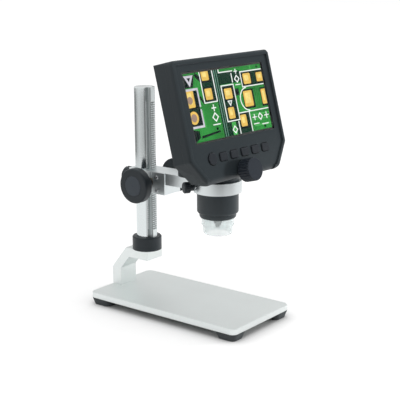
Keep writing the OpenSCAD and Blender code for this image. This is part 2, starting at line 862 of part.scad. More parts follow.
module lcd_frame() {
    color([0.3, 0.3, 0.3]) at_head() difference() {
        union() {
            slab([-panel_w / 2, panel_w / 2], [panel_v - panel_h / 2, panel_v + panel_h / 2],
                [frame_n, frame_n + frame_t]);
            for (s = [-1, 1], v = [board_v[0] + 3, board_v[1] - 3]) translate([s * (board_w / 2 - 4), v, frame_n - frame_lug])
                cylinder(h = frame_lug + tiny, r = 2);
        }
        slab([-panel_w / 2 + 5, panel_w / 2 - 5], [panel_v - panel_h / 2 + 8, panel_v + panel_h / 2 - 8],
            [frame_n - 5, frame_n + 5]);
    }
}

module main_board() {
    color([0.1, 0.35, 0.2]) at_head() slab([-board_w / 2, board_w / 2], board_v, [board_n, board_n + board_t]);
}

// Chips, coils and plugs on the back of the main board: place, size
module board_chips() {
    chips = [[-30, 6, 14, 14, 1.2], [-30, -14, 11, 9, 1], [-12, 2, 8, 8, 1], [-44, 20, 6, 6, 2.4],
        [-34, 21, 5, 5, 2], [-12, 18, 10, 4, 3], [-46, -2, 5, 8, 1.4], [20, -20, 16, 3.5, 2]];
    color([0.15, 0.15, 0.15]) at_head() for (c = chips)
        translate([c[0] - c[2] / 2, c[1] - c[3] / 2, board_n - c[4]]) cube([c[2], c[3], c[4]]);
}

module button_board() {
    color([0.1, 0.35, 0.2]) at_head() slab(key_board_u, [button_v - key_board_h / 2, button_v + key_board_h / 2],
        [key_board_n - key_board_t, key_board_n]);
}

module tact_switches() {
    color([0.4, 0.4, 0.42]) at_head() button_places() {
        translate([-3, -3, key_board_n]) cube([6, 6, switch_t]);
        translate([0, 0, switch_n - tiny]) cylinder(h = plunger_t + tiny, r = 1.6, $fn = 32);
    }
}

module battery() {
    color([0.5, 0.55, 0.6]) at_head() slab([-2, board_w / 2 - 10], [board_v[0] + 19, board_v[1] - 3], [back_n + wall + 0.3, board_n - 0.6]);
}

module usb_socket() {
    color("gainsboro") at_head() difference() {
        slab([board_w / 2 - 2, head_x - 0.8], [8, 16], [board_n - 3, board_n]);
        slab([head_x - 6, head_x + over], [8.4, 15.6], [board_n - 2.6, board_n - 0.4]);
    }
}

module card_socket() {
    color("gainsboro") at_head() difference() {
        slab([board_w / 2 - 8, head_x - 0.8], [-14, 0], [board_n - 1.8, board_n]);
        slab([head_x - 12, head_x + over], [-12.7, -1.3], [board_n - 1.4, board_n - 0.4]);
    }
}

// ---- Buttons ----

module button(i) {
    color([0.22, 0.24, 0.26]) at_head() translate([button_u + i * button_pitch, button_v, 0]) {
        edge = 0.4;
        translate([0, 0, flange_n]) linear_extrude(flange_t) button_shape(i, flange);
        translate([0, 0, flange_n]) linear_extrude(button_up - edge - flange_n) button_shape(i, 0);
        hull() {
            translate([0, 0, button_up - edge - tiny]) linear_extrude(tiny) button_shape(i, 0);
            translate([0, 0, button_up - tiny]) linear_extrude(tiny) button_shape(i, -edge);
        }
        translate([0, 0, stem_n]) cylinder(h = flange_n - stem_n + tiny, r = 1.5, $fn = 32);
    }
}

module button_1() { button(0); }
module button_2() { button(1); }
module button_3() { button(2); }
module button_4() { button(3); }
module button_5() { button(4); }
module button_6() { button(5); }

// ---- Focus drive ----

module focus_knob() {
    r = focus_d / 2;
    back = 0.6;
    rib = 0.5;
    steps = focus_ribs * 4;
    color([0.15, 0.16, 0.19]) at_head() translate([focus_u, focus_v, 0]) difference() {
        intersection() {
            translate([0, 0, back]) linear_extrude(focus_up - back) polygon([for (k = [0 : steps - 1])
                let (a = k * 360 / steps, q = r - (k % 4 < 2 ? 0 : rib)) [q * cos(a), q * sin(a)]]);
            turned([[0, back], [r - 1, back], [r + 0.1, back + 1.1], [r + 0.1, focus_up - 0.8],
                [r - 0.7, focus_up], [0, focus_up]]);
        }
        translate([0, 0, -over]) cylinder(h = focus_up - 2 + over, r = focus_shaft_r + seated);
    }
}

module focus_shaft() {
    color("gainsboro") at_head() translate([focus_u, focus_v, focus_pinion_n[0]])
        cylinder(h = focus_up - 2.5 - focus_pinion_n[0], r = focus_shaft_r);
}

module focus_pinion() {
    color("darkkhaki") at_head() translate([focus_u, focus_v, focus_pinion_n[0]]) difference() {
        linear_extrude(focus_pinion_n[1] - focus_pinion_n[0]) polygon(gear_outline(focus_teeth, focus_module));
        translate([0, 0, -over]) cylinder(h = 10, r = focus_shaft_r + seated);
    }
}

// ---- Barrel, lamps and lens, in the ring's frame ----

module barrel_tube() {
    edge = 2;
    arc = [for (a = [90 : -15 : 0]) [barrel_r - edge + edge * cos(a), barrel_bottom + edge - edge * sin(a)]];
    color([0.2, 0.22, 0.24]) difference() {
        at_ring() turned(concat([[barrel_in, barrel_top], [barrel_in, barrel_bottom]], arc, [[barrel_r, barrel_top]]));
        at_head() translate([focus_u, focus_v, -17]) cylinder(h = 14, r = focus_shaft_r + 0.7);
    }
}

module nose_ring() {
    lamp_seat = hood_r;
    round_r = nose_h * 0.45;
    arc = [for (a = [90 : -15 : 0]) [nose_r - 1.4 + 1.4 * cos(a), nose_bottom + round_r - round_r * sin(a)]];
    color([0.2, 0.22, 0.24]) at_ring() turned(concat(
        [[lamp_seat, barrel_bottom + spigot_h], [lamp_seat, led_board_z], [hood_r - 0.6 + seated, led_board_z],
            [hood_r - 0.6 + seated, nose_bottom]], arc,
        [[nose_r, barrel_bottom], [barrel_in - seated, barrel_bottom], [barrel_in - seated, barrel_bottom + spigot_h]]));
}

module led_board() {
    color("white") at_ring() translate([0, 0, led_board_z]) difference() {
        cylinder(h = led_board_t, r = hood_r - seated);
        translate([0, 0, -over]) cylinder(h = led_board_t + 2 * over, r = holder_in + 0.4);
    }
}

module leds() {
    color("lightcyan") at_ring() for (a = [0 : 360 / led_count : 359]) rotate(a)
        translate([led_ring_r, 0, led_board_z - 1.8]) cylinder(h = 1.8, r = 1.4, $fn = 32);
}

module clear_hood() {
    collar = 5.8;
    foot_r = hood_r - 1.4;
    bottom = [for (a = [0 : 15 : 90]) [foot_r - 1.4 + 1.4 * cos(a), hood_bottom + 2 - 2 * sin(a)]];
    color([0.85, 0.9, 0.92, 0.5]) at_ring() turned(concat(
        [[hood_in - 0.6, led_board_z - 0.2], [hood_r - 0.6, led_board_z - 0.2], [hood_r - 0.6, nose_bottom - 0.2],
            [hood_r, nose_bottom - 0.2], [hood_r, nose_bottom - collar], [hood_r - 0.7, nose_bottom - collar]],
        bottom,
        [[foot_r - 1.4 - hood_wall / 2, hood_bottom], [foot_r - hood_wall - 0.4, hood_bottom + 2],
            [hood_in - 0.6, nose_bottom - collar]]));
}

module sensor_board() {
    color([0.1, 0.35, 0.2]) at_ring() translate([0, 0, barrel_top + seated])
        cylinder(h = 1.6, r = barrel_in + 0.8);
}

module image_sensor() {
    color([0.15, 0.15, 0.18]) at_ring() translate([-4, -3.5, barrel_top + seated - 1.5]) cube([8, 7, 1.5]);
}

module lens_carrier() {
    skin = 2.2;
    disc = 2;
    u = focus_u + focus_r;
    color("dimgray") difference() {
        union() {
            at_ring() turned([[holder_in, carrier_bottom - 4], [holder_out, carrier_bottom - 4],
                [holder_out, carrier_bottom], [carrier_r, carrier_bottom], [carrier_r, carrier_top],
                [holder_in, carrier_top], [holder_in, carrier_top - disc], [carrier_r - skin, carrier_top - disc],
                [carrier_r - skin, carrier_bottom + disc], [holder_in, carrier_bottom + disc]]);
            intersection() {
                at_head() translate([0, 0, focus_pinion_n[0]]) linear_extrude(focus_pinion_n[1] - focus_pinion_n[0])
                    polygon(rack_outline(9, focus_module, focus_v - 4.5 * PI * focus_module,
                        focus_v - 11.5, focus_v + 6.2, u, u + 3.4));
                at_ring() translate([0, 0, carrier_top - disc]) cylinder(h = 30, r = carrier_r);
            }
        }
        at_ring() translate([0, 0, carrier_bottom + disc]) cylinder(h = carrier_top - carrier_bottom - 2 * disc, r = carrier_r - skin);
    }
}

module lens_snout() {
    top = carrier_bottom - 4;
    color([0.45, 0.47, 0.5]) at_ring() translate([0, 0, top]) turned([[4.6, 0], [holder_in - 0.2, 0], [5, -9],
        [3.4, -12.5], [1.5, -16.8], [0.8, -16.8], [2.6, -12.5], [4, -9.3]]);
}

module objective_lens() {
    color([0.6, 0.7, 0.85, 0.6]) at_ring() translate([0, 0, carrier_bottom - 2]) cylinder(h = 3, r = holder_in - seated);
}

base_plate();
rubber_feet();
foot_screws();
neck_bracket();
bracket_screws();
column_collar();
collar_screw();
column();
rack();
column_bolt();
slide_block();
ring_arm();
side_screws();
pinion_bushes();
friction_pad();
lock_knob();
lock_screw();
pinion_shaft();
left_rack_knob();
right_rack_knob();
knob_caps();
knob_grub_screws();
clamp_knob();
clamp_screw();
rear_housing();
front_housing();
housing_screws();
screen_window();
lcd_panel();
lcd_frame();
main_board();
board_chips();
button_board();
tact_switches();
battery();
usb_socket();
card_socket();
barrel_tube();
nose_ring();
led_board();
leds();
clear_hood();
sensor_board();
image_sensor();
button_1();
button_2();
button_3();
button_4();
button_5();
button_6();
focus_knob();
focus_shaft();
focus_pinion();
lens_carrier();
lens_snout();
objective_lens();
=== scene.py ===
"""The looks of a digital microscope with a screen head on a rack stand."""

import json
import math

import bmesh
import bpy
from mathutils import Matrix, Vector


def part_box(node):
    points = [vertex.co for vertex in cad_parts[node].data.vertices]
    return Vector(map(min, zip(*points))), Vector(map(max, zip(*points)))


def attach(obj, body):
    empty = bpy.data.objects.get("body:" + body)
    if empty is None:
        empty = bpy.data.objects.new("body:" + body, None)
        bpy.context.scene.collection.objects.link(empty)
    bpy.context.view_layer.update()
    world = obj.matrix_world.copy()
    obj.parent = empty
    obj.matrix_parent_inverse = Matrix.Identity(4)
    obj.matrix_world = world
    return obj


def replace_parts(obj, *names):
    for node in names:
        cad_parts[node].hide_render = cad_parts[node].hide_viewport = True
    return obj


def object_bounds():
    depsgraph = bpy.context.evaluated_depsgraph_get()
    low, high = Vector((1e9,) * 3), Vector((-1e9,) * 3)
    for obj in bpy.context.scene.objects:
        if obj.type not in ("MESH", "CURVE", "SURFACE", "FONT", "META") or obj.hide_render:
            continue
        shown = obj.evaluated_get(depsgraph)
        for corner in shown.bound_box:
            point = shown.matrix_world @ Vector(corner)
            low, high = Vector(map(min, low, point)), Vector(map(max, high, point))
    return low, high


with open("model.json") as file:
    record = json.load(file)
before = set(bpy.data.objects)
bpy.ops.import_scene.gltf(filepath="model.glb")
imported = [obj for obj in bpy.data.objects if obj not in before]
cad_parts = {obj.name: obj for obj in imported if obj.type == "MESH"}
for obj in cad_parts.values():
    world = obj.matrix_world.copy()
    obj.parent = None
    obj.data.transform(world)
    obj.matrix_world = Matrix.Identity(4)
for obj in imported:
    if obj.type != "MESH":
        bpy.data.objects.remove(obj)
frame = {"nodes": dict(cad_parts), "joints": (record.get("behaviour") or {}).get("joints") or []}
CAD_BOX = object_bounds()
NODES = frame["nodes"]
MM = 0.001
UP = Vector((0, 0, 1))


# ---- The head's own axes ----

def joint(name):
    return next(j for j in frame["joints"] if j["name"] == name)


def head_frame():
    """Axes of the head's face: X runs right, Y up the face and Z out of it, from the window's middle."""
    out = Vector(joint("focus_turn")["axis"]).normalized()
    right = UP.cross(out).normalized()
    up = out.cross(right)
    turn = Matrix((right, up, out)).transposed()
    corners = [turn.transposed() @ v.co for v in NODES["screen_window"].data.vertices]
    middle = [(min(c[i] for c in corners) + max(c[i] for c in corners)) / 2 for i in range(2)]
    face = max(c[2] for c in corners)
    origin = turn @ Vector((*middle, face))
    return Matrix.Translation(origin) @ turn.to_4x4()


HEAD = head_frame()


# ---- Colours ----

def grey(level):
    return (level, level, level, 1.0)


def cool(level):
    """The faintly blue grey of bare steel."""
    return (0.94 * level, level, 1.005 * level, 1.0)


def tint(red, green, blue):
    """A colour given as it shows, from 0 to 255."""
    shown = [c / 255 for c in (red, green, blue)]
    return (*[c / 12.92 if c <= 0.04045 else ((c + 0.055) / 1.055) ** 2.4 for c in shown], 1.0)


# ---- Node helpers ----

# Sockets of a Mix node that mixes two colours
MIX_A, MIX_B, MIX_OUT = 6, 7, 2


def add(tree, kind, inputs=(), **settings):
    """A new node. Each input takes a plain value or another node's socket."""
    made = tree.nodes.new("ShaderNode" + kind)
    for name, value in settings.items():
        setattr(made, name, value)
    for key, value in dict(inputs).items():
        if isinstance(value, bpy.types.NodeSocket):
            tree.links.new(value, made.inputs[key])
        else:
            made.inputs[key].default_value = value
    return made


def maths(tree, operation, *values):
    return add(tree, "Math", dict(enumerate(values)), operation=operation).outputs[0]


def noise(tree, place, size, detail, roughness):
    """Noise whose grains have about the given size."""
    per_metre = maths(tree, "DIVIDE", 1.0, size)
    inputs = {"Vector": place, "Scale": per_metre, "Detail": detail, "Roughness": roughness}
    return add(tree, "TexNoise", inputs).outputs[0]


def fill_ramp(ramp, levels, tone):
    """Sets a colour ramp's stops from pairs of place and level, in the given tone."""
    stops = ramp.color_ramp.elements
    while len(stops) < len(levels):
        stops.new(0.5)
    for stop, (place, level) in zip(stops, levels):
        stop.position = place
        stop.color = tone(level)


def new_group(name, inputs, outputs):
    tree = bpy.data.node_groups.new(name, "ShaderNodeTree")
    for label, kind in inputs.items():
        tree.interface.new_socket(label, in_out="INPUT", socket_type="NodeSocket" + kind)
    for label, kind in outputs.items():
        tree.interface.new_socket(label, in_out="OUTPUT", socket_type="NodeSocket" + kind)
    return tree, tree.nodes.new("NodeGroupInput").outputs, tree.nodes.new("NodeGroupOutput").inputs


def grain_group():
    """Fine grain and softened edges: the normal of a surface and a mask of its edges."""
    tree, given, result = new_group(
        "fine grain",
        {"Grain Size": "Float", "Grain Depth": "Float", "Edge Radius": "Float", "Stretch": "Vector"},
        {"Normal": "Vector", "Edge": "Float"},
    )
    place = add(tree, "TexCoord").outputs["Object"]
    stretched = add(tree, "VectorMath", {0: place, 1: given["Stretch"]}, operation="MULTIPLY").outputs[0]
    height = noise(tree, stretched, given["Grain Size"], detail=3.0, roughness=0.6)
    soft = add(tree, "Bevel", {"Radius": given["Edge Radius"]}, samples=4).outputs[0]
    bump_inputs = {"Strength": 1.0, "Distance": given["Grain Depth"], "Height": height, "Normal": soft}
    tree.links.new(add(tree, "Bump", bump_inputs).outputs[0], result["Normal"])
    # At an edge the softened normal leans away from the plain one
    plain = add(tree, "NewGeometry").outputs["Normal"]
    along = add(tree, "VectorMath", {0: plain, 1: soft}, operation="DOT_PRODUCT").outputs["Value"]
    lean = maths(tree, "SUBTRACT", 1.0, along)
    slight, full = 0.02, 0.25
    edge = add(tree, "MapRange", {"Value": lean, "From Min": slight, "From Max": full})
    tree.links.new(edge.outputs[0], result["Edge"])
    return tree


def tone_group():
    """Slow drift of colour and gloss over a surface, with another tone at its edges."""
    tree, given, result = new_group(
        "slow drift",
        {
            "Colour": "Color", "Edge Colour": "Color", "Edge": "Float", "Size": "Float",
            "Colour Drift": "Float", "Roughness": "Float", "Roughness Drift": "Float",
        },
        {"Colour": "Color", "Roughness": "Float"},
    )
    place = add(tree, "TexCoord").outputs["Object"]
    cloud = noise(tree, place, given["Size"], detail=4.0, roughness=0.55)
    drift = maths(tree, "SUBTRACT", cloud, 0.5)
    gain = maths(tree, "MULTIPLY_ADD", drift, given["Colour Drift"], 1.0)
    drifted = add(tree, "VectorMath", {0: given["Colour"], "Scale": gain}, operation="SCALE").outputs[0]
    mix_inputs = {"Factor": given["Edge"], MIX_A: drifted, MIX_B: given["Edge Colour"]}
    edged = add(tree, "Mix", mix_inputs, data_type="RGBA")
    tree.links.new(edged.outputs[MIX_OUT], result["Colour"])
    rough = maths(tree, "MULTIPLY_ADD", drift, given["Roughness Drift"], given["Roughness"])
    tree.links.new(rough, result["Roughness"])
    return tree


GRAIN = grain_group()
TONE = tone_group()


def new_material(name):
    material = bpy.data.materials.new(name)
    material.use_nodes = True
    return material, material.node_tree


def finish(name, colour, edge_colour, size=0.03, drift=0.06, roughness=0.4, rough_drift=0.1,
           grain=0.0003, depth=0.00001, edge=0.0003, stretch=(1, 1, 1), **plain):
    """A material whose colour and gloss drift slowly, with a fine grain and softened edges."""
    material, tree = new_material(name)
    shader = tree.nodes["Principled BSDF"]
    relief_inputs = {"Grain Size": grain, "Grain Depth": depth, "Edge Radius": edge, "Stretch": stretch}
    relief = add(tree, "Group", node_tree=GRAIN, inputs=relief_inputs)
    tone_inputs = {
        "Colour": colour, "Edge Colour": edge_colour, "Edge": relief.outputs["Edge"], "Size": size,
        "Colour Drift": drift, "Roughness": roughness, "Roughness Drift": rough_drift,
    }
    tone = add(tree, "Group", node_tree=TONE, inputs=tone_inputs)
    tree.links.new(tone.outputs["Colour"], shader.inputs["Base Color"])
    tree.links.new(tone.outputs["Roughness"], shader.inputs["Roughness"])
    tree.links.new(relief.outputs["Normal"], shader.inputs["Normal"])
    for key, value in plain.items():
        shader.inputs[key.replace("_", " ")].default_value = value
    return material


def paint_shade_by_depth(material, front, reach, levels):
    """Paints shade into a finish's tone by the depth behind its front: pairs of a share of the reach and a
    level.
    """
    tree = material.node_tree
    back = add(tree, "SeparateXYZ", {0: add(tree, "TexCoord").outputs["Object"]}).outputs["Y"]
    share = add(tree, "MapRange", {"Value": back, "From Min": front, "From Max": front + reach})
    shade = add(tree, "ValToRGB", {"Fac": share.outputs[0]})
    fill_ramp(shade, levels, cool)
    tone = next(n for n in tree.nodes if n.type == "GROUP" and n.node_tree == TONE)
    tree.links.new(shade.outputs["Color"], tone.inputs["Colour"])
    return material


# ---- Finishes ----

def satin_aluminium():
    return finish("satin_aluminium", tint(238, 243, 242), tint(246, 249, 249), roughness=0.4,
                  rough_drift=0.06, grain=0.00025, depth=0.000008, Metallic=0.85)


def milled_aluminium():
    return finish("milled_aluminium", tint(233, 239, 240), tint(245, 249, 249), roughness=0.34,
                  rough_drift=0.05, grain=0.0003, depth=0.000004, Metallic=0.9)


def polished_column():
    """Polished steel, with painted shade darkening the flat beside the rack."""
    material = finish("polished_column", tint(226, 230, 229), tint(240, 243, 243), roughness=0.17,
                      rough_drift=0.04, grain=0.0004, depth=0.000001, edge=0.0002,
                      stretch=(1, 1, 0.02), Metallic=1.0)
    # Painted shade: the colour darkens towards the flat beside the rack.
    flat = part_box("column")[0].y
    shaded_flat_reach = 1.2 * MM
    return paint_shade_by_depth(material, flat, shaded_flat_reach, [(0.0, 0.5), (0.25, 0.5), (0.7, 0.68), (1.0, 0.78)])


def rack_steel():
    """Bright teeth over gullets darkened with painted shade."""
    material = finish("rack_steel", (0.9, 0.92, 0.92, 1), grey(0.9), roughness=0.36, grain=0.0005,
                      depth=0.000004, edge=0.0001, stretch=(0.05, 1, 1), Metallic=0.3)
    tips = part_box("rack")[0].y
    gullet_shade_reach = 2 * MM
    # Painted shade in the gullets between the teeth, back to bright past their roots.
    levels = [(0.0, 0.95), (0.15, 0.9), (0.5, 0.5), (0.68, 0.36), (0.72, 0.95)]
    return paint_shade_by_depth(material, tips, gullet_shade_reach, levels)


def zinc_steel():
    return finish("zinc_steel", (0.6, 0.61, 0.62, 1), grey(0.8), size=0.004, roughness=0.28,
                  edge=0.0001, Metallic=1.0)


def black_steel():
    return finish("black_steel", (0.02, 0.021, 0.024, 1), grey(0.08), size=0.004, roughness=0.4,
                  edge=0.0001, Metallic=0.6)


def brass():
    return finish("brass", (0.4, 0.3, 0.15, 1), (0.5, 0.4, 0.22, 1), size=0.005, roughness=0.4,
                  Metallic=1.0)


def slate_plastic():
    return finish("slate_plastic", (0.031, 0.041, 0.047, 1), (0.058, 0.069, 0.077, 1), drift=0.08,
                  roughness=0.46, rough_drift=0.1, grain=0.0004, depth=0.00001, edge=0.0006,
                  Specular_IOR_Level=0.3)


def black_plastic():
    return finish("black_plastic", (0.023, 0.031, 0.037, 1), (0.044, 0.053, 0.06, 1), roughness=0.4,
                  grain=0.0003, depth=0.000006, edge=0.0004, Specular_IOR_Level=0.35)


def cap_plastic():
    return finish("cap_plastic", (0.066, 0.08, 0.096, 1), (0.076, 0.09, 0.106, 1), roughness=0.5,
                  edge=0.0003, Specular_IOR_Level=0.3)


def button_plastic():
    return finish("button_plastic", (0.026, 0.031, 0.038, 1), (0.055, 0.06, 0.07, 1), size=0.01,
                  roughness=0.45, edge=0.0003, Specular_IOR_Level=0.3)


def focus_plastic():
    return finish("focus_plastic", (0.024, 0.031, 0.042, 1), (0.04, 0.047, 0.06, 1), size=0.01,
                  roughness=0.45, edge=0.0003, Specular_IOR_Level=0.3)


def white_nylon():
    return finish("white_nylon", (0.75, 0.74, 0.7, 1), grey(0.8), roughness=0.5, Subsurface_Weight=0.1)


def black_rubber():
    return finish("black_rubber", (0.094, 0.104, 0.109, 1), (0.11, 0.12, 0.125, 1), roughness=0.7,
                  grain=0.0003, depth=0.00003, edge=0.0005, Specular_IOR_Level=0.25)


def barrel_metal():
    return finish("barrel_metal", (0.021, 0.033, 0.04, 1), (0.055, 0.07, 0.078, 1), roughness=0.38,
                  rough_drift=0.06, edge=0.0005, Specular_IOR_Level=0.5)


def snout_metal():
    return finish("snout_metal", (0.1, 0.11, 0.11, 1), grey(0.2), size=0.005, roughness=0.4, Metallic=0.5)


def clear_glass():
    return finish("clear_glass", grey(1), grey(1), drift=0.0, roughness=0.03, rough_drift=0.0,
                  depth=0.0, edge=0.0001, IOR=1.15, Transmission_Weight=1.0)


# The hood's faint glow is painted light: the lamps' light scattered in the plastic.
def clear_plastic():
    return finish("clear_plastic", (0.93, 0.96, 0.96, 1), grey(1), size=0.006, drift=0.04,
                  roughness=0.08, rough_drift=0.04, depth=0.000004, edge=0.0004, IOR=1.03,
                  Transmission_Weight=0.7, Emission_Color=(0.9, 1.0, 1.0, 1.0), Emission_Strength=0.02)


def screen_picture():
    return finish("screen_picture", grey(0.01), grey(0.01), roughness=0.4)


def board_green():
    return finish("board_green", (0.02, 0.12, 0.05, 1), (0.3, 0.3, 0.2, 1), size=0.002, drift=0.5,
                  roughness=0.35)


def white_board():
    return finish("white_board", grey(0.8), grey(0.7), size=0.004, roughness=0.4)


def chip_plastic():
    return finish("chip_plastic", grey(0.015), grey(0.05), size=0.003, roughness=0.5)


def battery_foil():
    return finish("battery_foil", (0.5, 0.52, 0.55, 1), grey(0.7), size=0.01, roughness=0.3, Metallic=1.0)


def lamp_white():
    return finish("lamp_white", (0.85, 0.95, 0.95, 1), grey(0.9), size=0.002, roughness=0.2,
                  Emission_Color=(0.75, 1.0, 1.0, 1.0), Emission_Strength=2.0)


FINISHES = [
    satin_aluminium, milled_aluminium, polished_column, rack_steel, zinc_steel, black_steel, brass,
    slate_plastic, black_plastic, cap_plastic, button_plastic, focus_plastic, white_nylon,
    black_rubber, barrel_metal, snout_metal, clear_glass, clear_plastic, screen_picture,
    board_green, white_board, chip_plastic, battery_foil, lamp_white,
]

# Pieces with a smoother finish than the rest of their slot
SMOOTHER = {"ring_arm": "milled_aluminium", "slide_block": "milled_aluminium"}


def dress_nodes():
    """Gives each piece of the frame the finish of its slot."""
    slots = {name: piece.data.materials[0].name for name, piece in NODES.items()}
    for packed in [m for m in bpy.data.materials if m.name in slots.values()]:
        bpy.data.materials.remove(packed)
    made = {f.__name__: f() for f in FINISHES}
    for name, slot in slots.items():
        NODES[name].data.materials.clear()
        NODES[name].data.materials.append(made[SMOOTHER.get(name, slot)])
    return made


# ---- Flat shapes on the screen, in millimetres right and down from the picture's upper left corner ----

PICTURE_W, PICTURE_H = 95.04, 53.86
# Heights over the head's face
POCKET = -1.3
FIELD_TOP = -1.26
LAYER_STEP = 0.0225
# Width of a printed line
LINE = 0.9


def on_face(x, y, height):
    """A point on the head, from its face's middle: right, up the face and out of it, in millimetres."""
    return HEAD @ (Vector((x, y, height)) * MM)


def clipped(outline):
    """The part of a convex outline that lies inside the picture."""
    for axis, limit, sign in ((0, 0.0, 1), (0, PICTURE_W, -1), (1, 0.0, 1), (1, PICTURE_H, -1)):
        kept = []
        for a, b in zip(outline, outline[1:] + outline[:1]):
            inside_a = sign * (a[axis] - limit) >= 0
            inside_b = sign * (b[axis] - limit) >= 0
            if inside_a:
                kept.append(a)
            if inside_a != inside_b:
                t = (limit - a[axis]) / (b[axis] - a[axis])
                kept.append((a[0] + t * (b[0] - a[0]), a[1] + t * (b[1] - a[1])))
        outline = kept
    return outline


def plate(bm, outline, low, high):
    """A thin closed plate, as much of it as lies inside the picture."""
    outline = [(x - PICTURE_W / 2, PICTURE_H / 2 - y) for x, y in clipped(outline)]
    count = len(outline)
    if count < 3:
        return
    under, over = ([bm.verts.new(on_face(x, y, height)) for x, y in outline] for height in (low, high))
    bm.faces.new(over)
    bm.faces.new(under[::-1])
    for k in range(count):
        j = (k + 1) % count
        bm.faces.new((under[k], under[j], over[j], over[k]))


def around(x, y, radius, angle):
    """The point of a circle at an angle in degrees."""
    return (x + radius * math.cos(math.radians(angle)), y - radius * math.sin(math.radians(angle)))


def bar(x0, y0, x1, y1):
    return [(x0, y1), (x1, y1), (x1, y0), (x0, y0)]


def soft_bar(x0, y0, x1, y1, r=1.1):
    """A bar with rounded corners."""
    corners = [(x1 - r, y0 + r, 0), (x0 + r, y0 + r, 90), (x0 + r, y1 - r, 180), (x1 - r, y1 - r, 270)]
    return [around(x, y, r, first + turn) for x, y, first in corners for turn in (0, 30, 60, 90)]


def disc(x, y, radius, steps=28):
    return [around(x, y, radius, 360 * k / steps) for k in range(steps)]


def half_ring(x, y, radius, width=LINE, steps=20):
    """The left half of a ring."""
    outer, inner = ([around(x, y, r, 90 + 180 * k / steps) for k in range(steps + 1)]
                    for r in (radius, radius - width))
    return [[outer[k], outer[k + 1], inner[k + 1], inner[k]] for k in range(steps)]


def box_line(x0, y0, x1, y1, width=LINE):
    """Four bars round a box."""
    return [bar(x0, y0, x1, y0 + width), bar(x0, y1 - width, x1, y1),
            bar(x0, y0 + width, x0 + width, y1 - width), bar(x1 - width, y0 + width, x1, y1 - width)]


def strips(outer, inner):
    """The quads between two closed outlines of as many points."""
    count = len(outer)
    return [[outer[k], outer[(k + 1) % count], inner[(k + 1) % count], inner[k]] for k in range(count)]


def diamond(x, y, half, width=LINE):
    """An open square on its corner."""
    hole = half - 1.4 * width
    outer, inner = ([(x + h, y), (x, y - h), (x - h, y), (x, y + h)] for h in (half, hole))
    return strips(outer, inner)


def triangle(x, y, half, width):
    """An open triangle that points down."""
    side, top = 1.1 * half, 0.8 * half
    outer = [(x, y + half), (x + side, y - top), (x - side, y - top)]
    middle_x, middle_y = (sum(p[i] for p in outer) / 3 for i in range(2))
    share = 1 - 2.1 * width / half
    inner = [(middle_x + (px - middle_x) * share, middle_y + (py - middle_y) * share) for px, py in outer]
    return strips(outer, inner)


def cross(x, y, half, width=LINE):
    """A plus sign."""
    w = width / 2
    return [bar(x - half, y - w, x + half, y + w), bar(x - w, y - half, x + w, y - w),
            bar(x - w, y + w, x + w, y + half)]


# ---- The picture: an enlarged circuit board ----

# Solder pads: left, top, right, bottom
PADS = [(-1, 13.4, 7.8, 26.6), (20.6, -1, 29.2, 7.2), (21.2, 13.6, 29.6, 22.6), (44.0, 16.0, 53.2, 24.6),
        (44.2, 31.4, 51.8, 40.6), (70.2, 6.2, 79.6, 15.0), (87.2, 6.8, 96, 14.4), (66.6, 20.4, 77.6, 33.4),
        (89.4, 21.0, 96, 33.6), (57.2, 39.0, 64.8, 48.6)]
# The round pad and the vias: middle and radius
ROUND_PAD = (3.4, 34.6, 5.2)
VIAS = [(2.6, 20.8, 3.0), (3.4, 34.6, 3.2)]


def dark_fields():
    """Board without copper: a band down the picture, and the ground inside the printed outlines."""
    return [bar(34.4, 0, 40.8, 54), bar(40.8, 3.1, 67.2, 12.4), bar(54.9, 37.7, 69.2, 54),
            bar(68.1, 4.9, 95.04, 16.4), bar(19.3, 0, 33.4, 24.2), bar(41.9, 13.9, 56.0, 41.9),
            bar(0, 13.6, 12.2, 41.2), bar(40.8, 42.8, 54.0, 54), bar(56.9, 17.3, 62.0, 23)]


def stripes():
    """Two pale lines down the dark band."""
    return [bar(36.0, 0, 36.8, 54), bar(38.6, 0, 39.2, 54)]


def tracks():
    return [bar(70.8, 40.2, 95, 41.2), bar(72, 44.4, 95, 45.2), bar(81, 0, 82.2, 4),
            bar(74, 49, 95, 50.4), bar(45.6, 43.4, 50.6, 54), bar(14.6, 30, 15.4, 44)]


def shadows():
    """Dark ground round the pads, small holes, and cuts in the copper."""
    left, above, right, below = 0.9, 1.2, 2.0, 1.6
    grounds = [bar(x0 - left, y0 - above, x1 + right, y1 + below) for x0, y0, x1, y1 in PADS]
    x, y, radius = ROUND_PAD
    shift, rim = 0.8, 1.3
    grounds.append(disc(x + shift, y + shift, radius + rim))
    holes = [disc(27.6, 46.0, 1.2), disc(86.4, 51.6, 1.2), disc(59.6, 20.2, 2.0), disc(90.0, 2.0, 1.0)]
    cuts = [bar(9.4, 14.6, 12.2, 40.2),
            [(0, 1.4), (0, 11.0), (9.0, 11.0), (12.4, 1.4)],
            [(13.8, 20), (18.4, 26), (18.4, 23.4), (15.2, 18)],
            [(13.4, 0), (12.8, 3), (18.4, 8), (18.4, 3)],
            [(8.0, 49.4), (8.0, 51.4), (30.6, 49.2), (30.6, 47.6)],
            [(0, 43.8), (0, 54), (6.4, 50.6), (6.4, 45.2)]]
    return grounds + holes + cuts


def gold_pads():
    return [soft_bar(*pad) for pad in PADS] + [disc(*ROUND_PAD)]


def pad_shine():
    """A lighter patch up and to the left on each pad."""
    near, right, below = 1.6, 2.6, 2.8
    return [soft_bar(x0 + near, y0 + near, x1 - right, y1 - below, r=0.8) for x0, y0, x1, y1 in PADS]


def via_holes():
    return [disc(*via) for via in VIAS]


def pale_bracket():
    """A broad bracket round the pads at the left, with a triangle above it."""
    sides = [bar(0, 11.8, 13.8, 13.6), bar(12.2, 13.6, 13.8, 26.8), bar(12.2, 28.6, 13.8, 41.2),
             bar(0, 41.2, 13.8, 43.0)]
    return sides + triangle(5.6, 5.6, 5.0, width=1.5)


